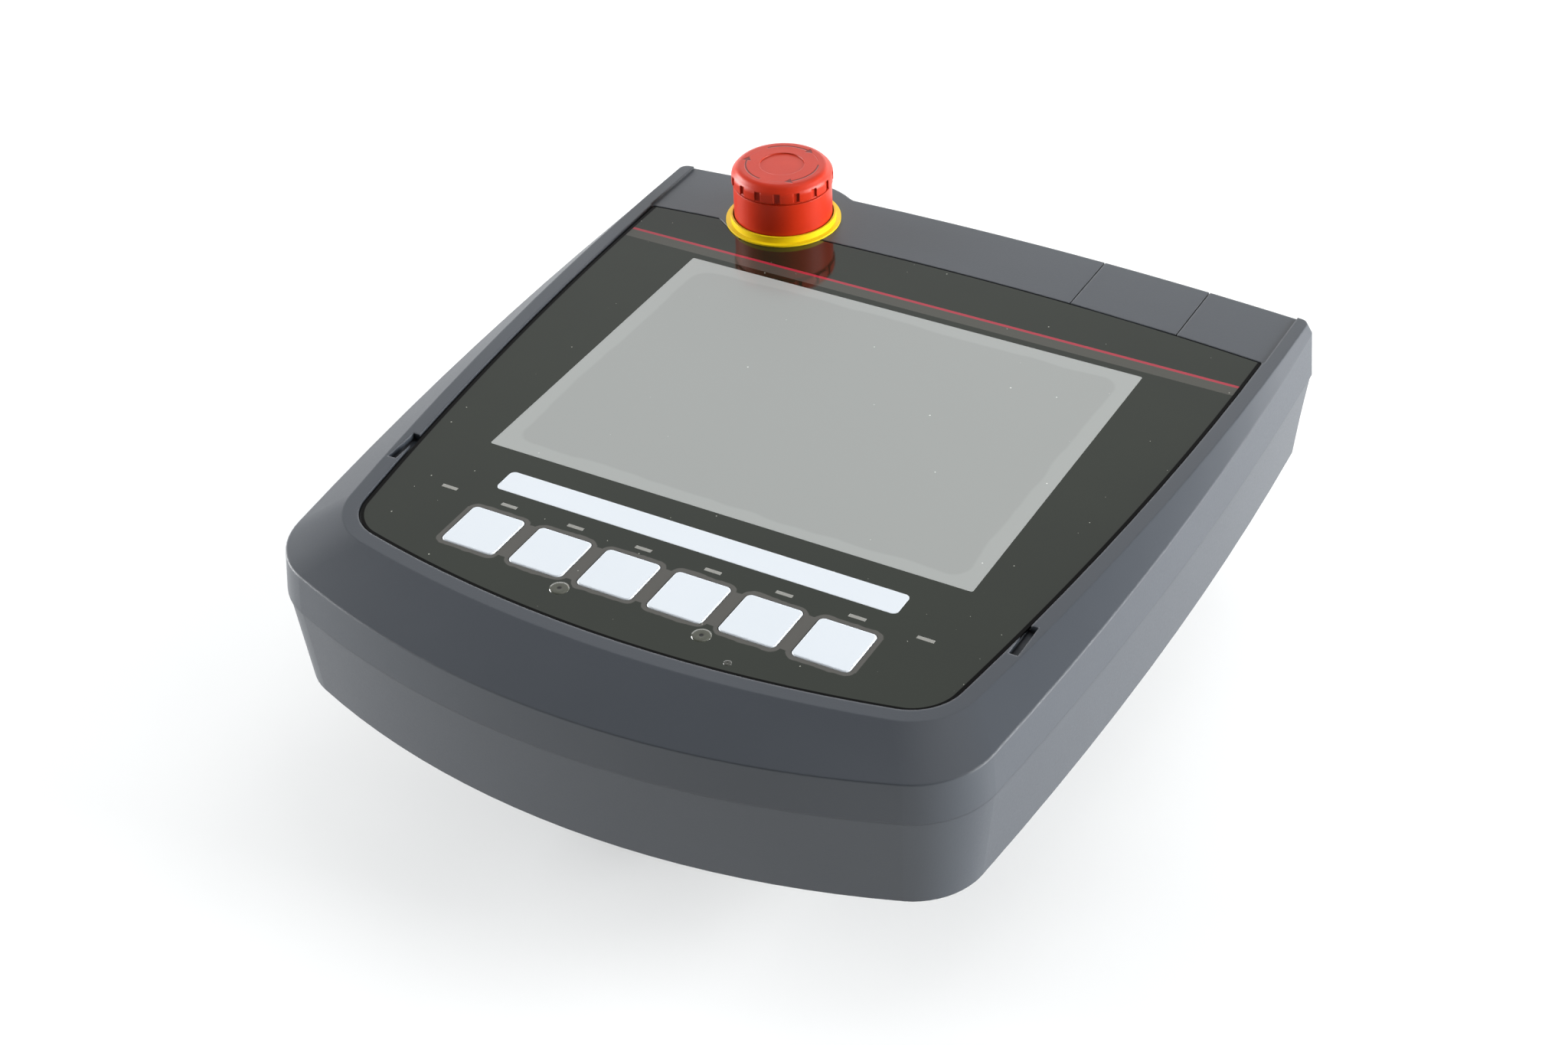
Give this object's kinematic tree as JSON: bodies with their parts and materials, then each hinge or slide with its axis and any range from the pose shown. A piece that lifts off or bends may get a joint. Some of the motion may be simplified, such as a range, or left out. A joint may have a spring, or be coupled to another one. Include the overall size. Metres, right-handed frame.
{
  "type": "handheld operator panel",
  "caption": "Handheld operator panel with a display, a row of function keys, a twist-release stop button, a hinged port cover, and a grip housing with an enabling switch at the back.",
  "frame": {"origin": "centre of the bounding box, on the surface that the panel lies on", "axes": "+X to the right of the display, +Y towards its top edge, +Z out of the display"},
  "size_m": [0.201, 0.231, 0.096],
  "materials": {
    "case_plastic": "dark blue-grey moulded plastic, fine satin grain",
    "overlay_film": "glossy olive-black front film",
    "window_film": "clear window film",
    "panel_glass": "touch panel glass",
    "white_plastic": "bluish white, slightly glossy",
    "lamp_plastic": "milky lamp windows",
    "stop_red": "red plastic, satin gloss",
    "stop_yellow": "yellow plastic",
    "black_plastic": "black plastic",
    "steel": "bright steel",
    "board": "green circuit board",
    "seal_rubber": "black rubber"
  },
  "bodies": {
    "housing": {"front_case": "case_plastic", "rear_case": "case_plastic", "grip_housing": "case_plastic", "service_cover": "case_plastic", "front_overlay": "overlay_film", "display_window": "window_film", "touch_panel": "panel_glass", "label_strip": "white_plastic", "light_pipes": "lamp_plastic", "indicator_leds": "lamp_plastic", "stop_collar": "stop_yellow", "stop_barrel": "black_plastic", "stop_nut": "black_plastic", "stop_contacts": "black_plastic", "enabling_switch": "black_plastic", "cable_gland": "black_plastic", "gland_cap": "black_plastic", "gland_nut": "black_plastic", "board_connectors": "black_plastic", "terminal_blocks": "black_plastic", "key_switches": "black_plastic", "display_module": "black_plastic", "bracket_screws": "steel", "key_board_screws": "steel", "main_board_screws": "steel", "port_board_screws": "steel", "case_screws": "steel", "grip_screws": "steel", "grip_bracket_screws": "steel", "service_screws": "steel", "terminal_screws": "steel", "port_hinge_pin": "steel", "stop_spring": "steel", "grip_springs": "steel", "display_bracket": "steel", "shield_can": "steel", "port_sockets": "steel", "grip_bracket": "steel", "board_spacers": "steel", "backup_battery": "steel", "key_board": "board", "main_board": "board", "port_board": "board", "terminal_board": "board", "display_gasket": "seal_rubber", "case_seal": "seal_rubber", "gland_seal": "seal_rubber", "service_seal": "seal_rubber"},
    "stop_plunger": {"stop_plunger": "black_plastic"},
    "stop_head": {"stop_head": "stop_red"},
    "port_cover": {"port_cover": "case_plastic"},
    "grip_lever": {"grip_lever": "black_plastic", "grip_plunger": "black_plastic"},
    "key_1": {"function_key_1": "white_plastic"},
    "key_2": {"function_key_2": "white_plastic"},
    "key_3": {"function_key_3": "white_plastic"},
    "key_4": {"function_key_4": "white_plastic"},
    "key_5": {"function_key_5": "white_plastic"},
    "key_6": {"function_key_6": "white_plastic"}
  },
  "joints": [
    {"name": "stop_push", "type": "slide", "parent": "housing", "child": "stop_plunger", "axis": [0, 0, -1], "range_m": [0, 0.003], "deforming": ["stop_spring"]},
    {"name": "stop_twist", "type": "hinge", "parent": "stop_plunger", "child": "stop_head", "pos_m": [-0.0552, 0.0929, 0.092], "axis": [0, 0, -1], "range_deg": [0, 45], "stiffness_Nm_per_rad": 0.05},
    {"name": "port_cover_open", "type": "hinge", "parent": "housing", "child": "port_cover", "pos_m": [0.0514, 0.09205, 0.076], "axis": [1, 0, 0], "range_deg": [0, 100]},
    {"name": "grip_press", "type": "slide", "parent": "housing", "child": "grip_lever", "axis": [1, 0, 0], "range_m": [0, 0.0045], "stiffness_N_per_m": 1500, "deforming": ["grip_springs"]},
    {"name": "key_1_press", "type": "slide", "parent": "housing", "child": "key_1", "axis": [0, 0, -1], "range_m": [0, 0.0005], "stiffness_N_per_m": 2500},
    {"name": "key_2_press", "type": "slide", "parent": "housing", "child": "key_2", "axis": [0, 0, -1], "range_m": [0, 0.0005], "stiffness_N_per_m": 2500},
    {"name": "key_3_press", "type": "slide", "parent": "housing", "child": "key_3", "axis": [0, 0, -1], "range_m": [0, 0.0005], "stiffness_N_per_m": 2500},
    {"name": "key_4_press", "type": "slide", "parent": "housing", "child": "key_4", "axis": [0, 0, -1], "range_m": [0, 0.0005], "stiffness_N_per_m": 2500},
    {"name": "key_5_press", "type": "slide", "parent": "housing", "child": "key_5", "axis": [0, 0, -1], "range_m": [0, 0.0005], "stiffness_N_per_m": 2500},
    {"name": "key_6_press", "type": "slide", "parent": "housing", "child": "key_6", "axis": [0, 0, -1], "range_m": [0, 0.0005], "stiffness_N_per_m": 2500}
  ]
}
